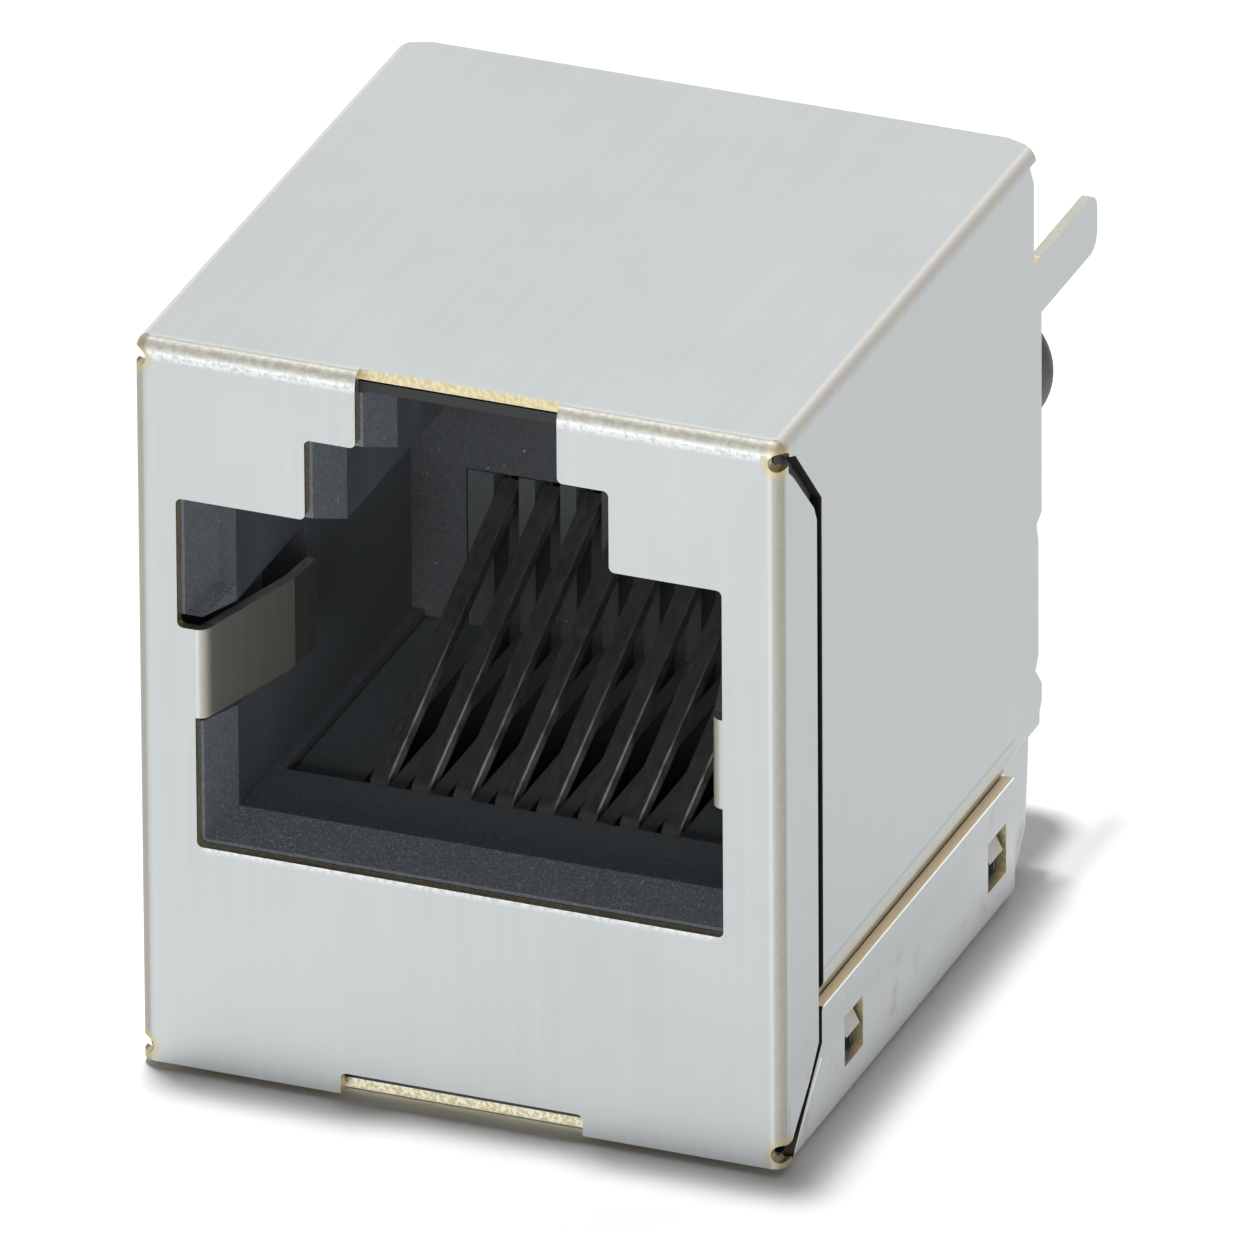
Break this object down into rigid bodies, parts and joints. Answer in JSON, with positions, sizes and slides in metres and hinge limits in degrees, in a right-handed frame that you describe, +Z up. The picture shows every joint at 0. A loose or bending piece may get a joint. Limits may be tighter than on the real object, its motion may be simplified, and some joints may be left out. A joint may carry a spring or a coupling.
{
  "type": "rj45 board jack",
  "caption": "Shielded modular jack for a circuit board: folded metal shell, black plastic body with a stepped plug opening, spring contacts, board pegs and solder tails.",
  "frame": {"origin": "middle of the bounding box in X and Y, on the plane of the bottom cover's underside", "axes": "+Z up from the bottom cover to the top panel, the plug opening faces -Y, the board side faces +Y, X across the opening"},
  "size_m": [0.0156, 0.02, 0.0185],
  "materials": {
    "shield_sheet": "satin plated sheet, bends rough",
    "body_plastic": "fine matte, moulded",
    "insert_plastic": "fine matte, moulded",
    "contact_metal": "plated, satin"
  },
  "bodies": {
    "root": {"shield_shell": "shield_sheet", "bottom_cover": "shield_sheet", "housing": "body_plastic", "contact_carrier": "insert_plastic", "contact_1": "contact_metal", "contact_2": "contact_metal", "contact_3": "contact_metal", "contact_4": "contact_metal", "contact_5": "contact_metal", "contact_6": "contact_metal", "contact_7": "contact_metal", "contact_8": "contact_metal"}
  },
  "joints": []
}
